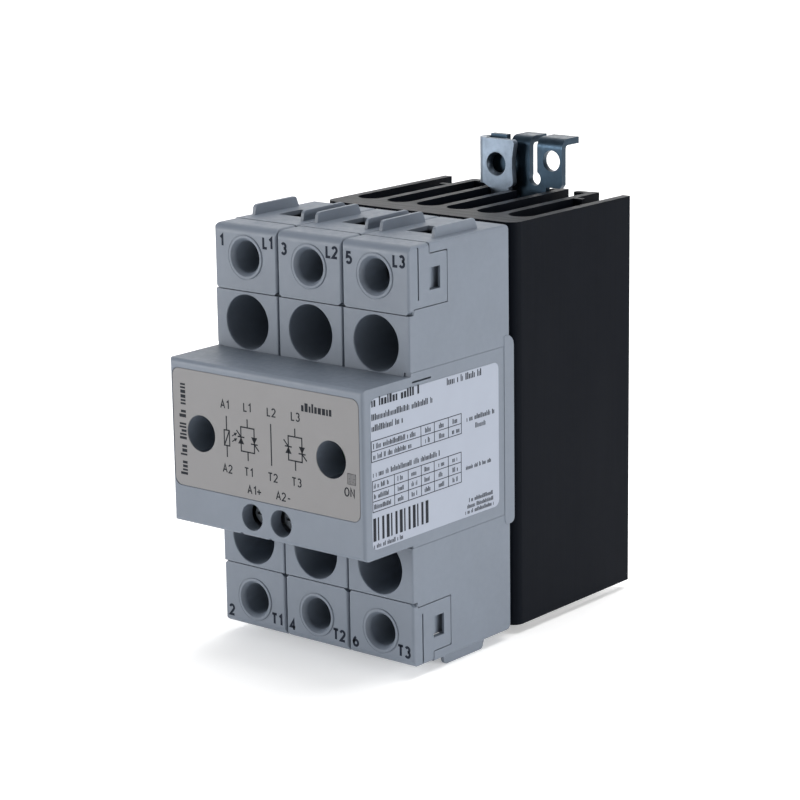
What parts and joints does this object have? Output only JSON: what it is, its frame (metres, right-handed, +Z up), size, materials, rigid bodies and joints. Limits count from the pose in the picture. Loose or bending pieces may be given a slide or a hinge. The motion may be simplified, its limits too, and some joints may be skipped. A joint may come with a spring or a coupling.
{
  "type": "solid state relay",
  "caption": "DIN-rail solid state relay: grey pole housings with clip-on terminal covers and a control module, screwed to a finned black heat sink with a sprung steel rail clip.",
  "frame": {"origin": "middle of the rail seat on the heat sink's centre fin", "axes": "+Y towards the rail (the front faces -Y), +Z up along the fins, +X to the right seen from the front"},
  "size_m": [0.054, 0.0977, 0.1044],
  "materials": {
    "grey_plastic": "fine moulded texture, blue-grey",
    "cover_plastic": "fine moulded texture, blue-grey",
    "zinc_steel": "bright zinc plating",
    "tinned_copper": "tinned copper strip",
    "brass": "plain brass",
    "black_aluminium": "black anodised extrusion",
    "bare_aluminium": "milled",
    "thermal_pad": "soft grey pad",
    "ceramic": "white alumina",
    "black_plastic": "moulded epoxy",
    "circuit_board": "green solder mask",
    "green_led": "tinted epoxy lens",
    "clear_plastic": "frosted clear light pipe",
    "spring_steel": "bright spring wire",
    "front_label": "warm grey printed foil",
    "side_label": "white printed foil"
  },
  "bodies": {
    "relay": {"heat_sink": "black_aluminium", "base_plate": "bare_aluminium", "thermal_pad": "thermal_pad", "pole_housing_1": "grey_plastic", "pole_housing_2": "grey_plastic", "pole_housing_3": "grey_plastic", "busbar_l1": "tinned_copper", "busbar_t1": "tinned_copper", "busbar_l3": "tinned_copper", "busbar_t3": "tinned_copper", "through_link_l2_t2": "tinned_copper", "ceramic_substrate_1": "ceramic", "ceramic_substrate_3": "ceramic", "thyristor_pair_1": "black_plastic", "thyristor_pair_3": "black_plastic", "gate_lead_1": "brass", "gate_lead_3": "brass", "control_cover": "grey_plastic", "front_label": "front_label", "side_label": "side_label", "control_board": "circuit_board", "optocoupler_1": "black_plastic", "optocoupler_3": "black_plastic", "status_led": "green_led", "led_light_pipe": "clear_plastic", "control_pin_a1": "brass", "control_pin_a2": "brass", "heat_sink_screw_l1": "zinc_steel", "heat_sink_screw_l2": "zinc_steel", "heat_sink_screw_l3": "zinc_steel", "heat_sink_screw_t1": "zinc_steel", "heat_sink_screw_t2": "zinc_steel", "heat_sink_screw_t3": "zinc_steel", "module_screw_left": "zinc_steel", "module_screw_right": "zinc_steel", "clip_spring": "spring_steel", "spring_stop_pin": "zinc_steel"},
    "cover_l1": {"terminal_cover_l1": "cover_plastic"},
    "screw_l1": {"terminal_screw_l1": "zinc_steel"},
    "clamp_l1": {"wire_clamp_l1": "zinc_steel"},
    "cover_l2": {"terminal_cover_l2": "cover_plastic"},
    "screw_l2": {"terminal_screw_l2": "zinc_steel"},
    "clamp_l2": {"wire_clamp_l2": "zinc_steel"},
    "cover_l3": {"terminal_cover_l3": "cover_plastic"},
    "screw_l3": {"terminal_screw_l3": "zinc_steel"},
    "clamp_l3": {"wire_clamp_l3": "zinc_steel"},
    "cover_t1": {"terminal_cover_t1": "cover_plastic"},
    "screw_t1": {"terminal_screw_t1": "zinc_steel"},
    "clamp_t1": {"wire_clamp_t1": "zinc_steel"},
    "cover_t2": {"terminal_cover_t2": "cover_plastic"},
    "screw_t2": {"terminal_screw_t2": "zinc_steel"},
    "clamp_t2": {"wire_clamp_t2": "zinc_steel"},
    "cover_t3": {"terminal_cover_t3": "cover_plastic"},
    "screw_t3": {"terminal_screw_t3": "zinc_steel"},
    "clamp_t3": {"wire_clamp_t3": "zinc_steel"},
    "screw_a1": {"control_screw_a1": "zinc_steel"},
    "clamp_a1": {"control_clamp_a1": "zinc_steel"},
    "screw_a2": {"control_screw_a2": "zinc_steel"},
    "clamp_a2": {"control_clamp_a2": "zinc_steel"},
    "rail_clip": {"din_clip": "zinc_steel"}
  },
  "joints": [
    {"name": "cover_l1_pull", "type": "slide", "parent": "relay", "child": "cover_l1", "axis": [0, -1, 0], "range_m": [0, 0.02]},
    {"name": "screw_l1_turn", "type": "hinge", "parent": "relay", "child": "screw_l1", "pos_m": [-0.018, -0.0697, 0.0383], "axis": [0, 1, 0], "range_deg": [0, 1441]},
    {"name": "clamp_l1_close", "type": "slide", "parent": "relay", "child": "clamp_l1", "axis": [0, -1, 0], "range_m": [0, 0.0032]},
    {"name": "cover_l2_pull", "type": "slide", "parent": "relay", "child": "cover_l2", "axis": [0, -1, 0], "range_m": [0, 0.02]},
    {"name": "screw_l2_turn", "type": "hinge", "parent": "relay", "child": "screw_l2", "pos_m": [0, -0.0697, 0.0383], "axis": [0, 1, 0], "range_deg": [0, 1441]},
    {"name": "clamp_l2_close", "type": "slide", "parent": "relay", "child": "clamp_l2", "axis": [0, -1, 0], "range_m": [0, 0.0032]},
    {"name": "cover_l3_pull", "type": "slide", "parent": "relay", "child": "cover_l3", "axis": [0, -1, 0], "range_m": [0, 0.02]},
    {"name": "screw_l3_turn", "type": "hinge", "parent": "relay", "child": "screw_l3", "pos_m": [0.018, -0.0697, 0.0383], "axis": [0, 1, 0], "range_deg": [0, 1441]},
    {"name": "clamp_l3_close", "type": "slide", "parent": "relay", "child": "clamp_l3", "axis": [0, -1, 0], "range_m": [0, 0.0032]},
    {"name": "cover_t1_pull", "type": "slide", "parent": "relay", "child": "cover_t1", "axis": [0, -1, 0], "range_m": [0, 0.02]},
    {"name": "screw_t1_turn", "type": "hinge", "parent": "relay", "child": "screw_t1", "pos_m": [-0.018, -0.0697, -0.0383], "axis": [0, 1, 0], "range_deg": [0, 1441]},
    {"name": "clamp_t1_close", "type": "slide", "parent": "relay", "child": "clamp_t1", "axis": [0, -1, 0], "range_m": [0, 0.0032]},
    {"name": "cover_t2_pull", "type": "slide", "parent": "relay", "child": "cover_t2", "axis": [0, -1, 0], "range_m": [0, 0.02]},
    {"name": "screw_t2_turn", "type": "hinge", "parent": "relay", "child": "screw_t2", "pos_m": [0, -0.0697, -0.0383], "axis": [0, 1, 0], "range_deg": [0, 1441]},
    {"name": "clamp_t2_close", "type": "slide", "parent": "relay", "child": "clamp_t2", "axis": [0, -1, 0], "range_m": [0, 0.0032]},
    {"name": "cover_t3_pull", "type": "slide", "parent": "relay", "child": "cover_t3", "axis": [0, -1, 0], "range_m": [0, 0.02]},
    {"name": "screw_t3_turn", "type": "hinge", "parent": "relay", "child": "screw_t3", "pos_m": [0.018, -0.0697, -0.0383], "axis": [0, 1, 0], "range_deg": [0, 1441]},
    {"name": "clamp_t3_close", "type": "slide", "parent": "relay", "child": "clamp_t3", "axis": [0, -1, 0], "range_m": [0, 0.0032]},
    {"name": "screw_a1_turn", "type": "hinge", "parent": "relay", "child": "screw_a1", "pos_m": [-0.00415, -0.0897, -0.0136], "axis": [0, 1, 0], "range_deg": [0, 1441]},
    {"name": "clamp_a1_close", "type": "slide", "parent": "relay", "child": "clamp_a1", "axis": [0, -1, 0], "range_m": [0, 0.002]},
    {"name": "screw_a2_turn", "type": "hinge", "parent": "relay", "child": "screw_a2", "pos_m": [0.004, -0.0897, -0.0136], "axis": [0, 1, 0], "range_deg": [0, 1441]},
    {"name": "clamp_a2_close", "type": "slide", "parent": "relay", "child": "clamp_a2", "axis": [0, -1, 0], "range_m": [0, 0.002]},
    {"name": "rail_clip_pull", "type": "slide", "parent": "relay", "child": "rail_clip", "axis": [0, 0, 1], "range_m": [0, 0.0035], "stiffness_N_per_m": 1500, "springref_m": -0.003, "deforming": ["clip_spring"]}
  ],
  "couplings": [
    {"joint": "screw_l1_turn", "follows": "clamp_l1_close", "rad_per_m": 7854},
    {"joint": "screw_l2_turn", "follows": "clamp_l2_close", "rad_per_m": 7854},
    {"joint": "screw_l3_turn", "follows": "clamp_l3_close", "rad_per_m": 7854},
    {"joint": "screw_t1_turn", "follows": "clamp_t1_close", "rad_per_m": 7854},
    {"joint": "screw_t2_turn", "follows": "clamp_t2_close", "rad_per_m": 7854},
    {"joint": "screw_t3_turn", "follows": "clamp_t3_close", "rad_per_m": 7854},
    {"joint": "screw_a1_turn", "follows": "clamp_a1_close", "rad_per_m": 12566},
    {"joint": "screw_a2_turn", "follows": "clamp_a2_close", "rad_per_m": 12566}
  ]
}
